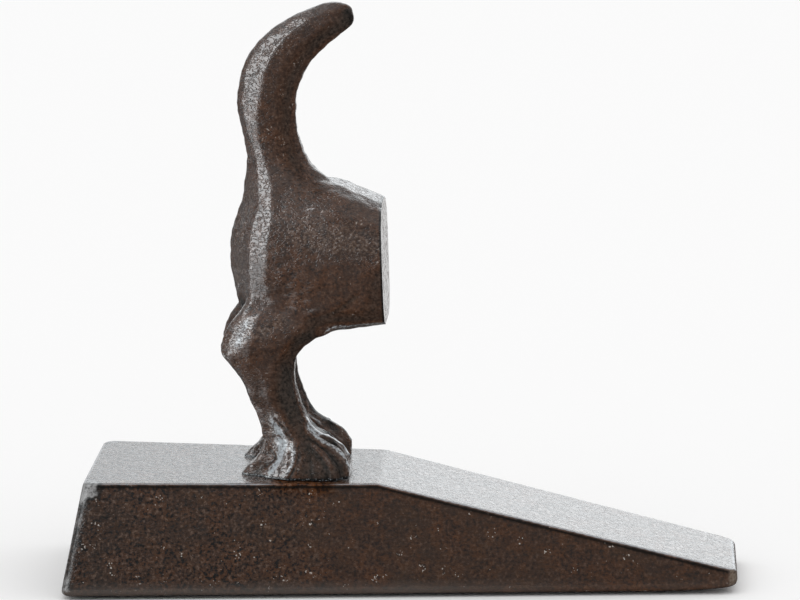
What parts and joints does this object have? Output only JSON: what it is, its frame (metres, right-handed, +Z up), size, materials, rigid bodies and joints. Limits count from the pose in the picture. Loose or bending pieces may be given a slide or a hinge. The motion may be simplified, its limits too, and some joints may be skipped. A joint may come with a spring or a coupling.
{
  "type": "doorstop",
  "caption": "Brown cast-iron wedge doorstop with the rear half of a dog, tail raised, standing on the heel of the wedge; soft floor pads underneath.",
  "frame": {"origin": "middle of the footprint, on the floor", "axes": "+X towards the thin nose of the wedge, +Y to the dog's left, +Z up"},
  "size_m": [0.1547, 0.0654, 0.1345],
  "materials": {
    "brown_iron": "brown antique lacquer with a satin gloss over a fine sand-cast surface",
    "plated_steel": "zinc plated, satin",
    "soft_pad": "matt black"
  },
  "bodies": {
    "root": {"wedge_base": "brown_iron", "dog_figure": "brown_iron", "paw_screw_left": "plated_steel", "paw_screw_right": "plated_steel", "spring_washer_left": "plated_steel", "spring_washer_right": "plated_steel", "pad_heel_left": "soft_pad", "pad_heel_right": "soft_pad", "pad_nose_left": "soft_pad", "pad_nose_right": "soft_pad"}
  },
  "joints": []
}
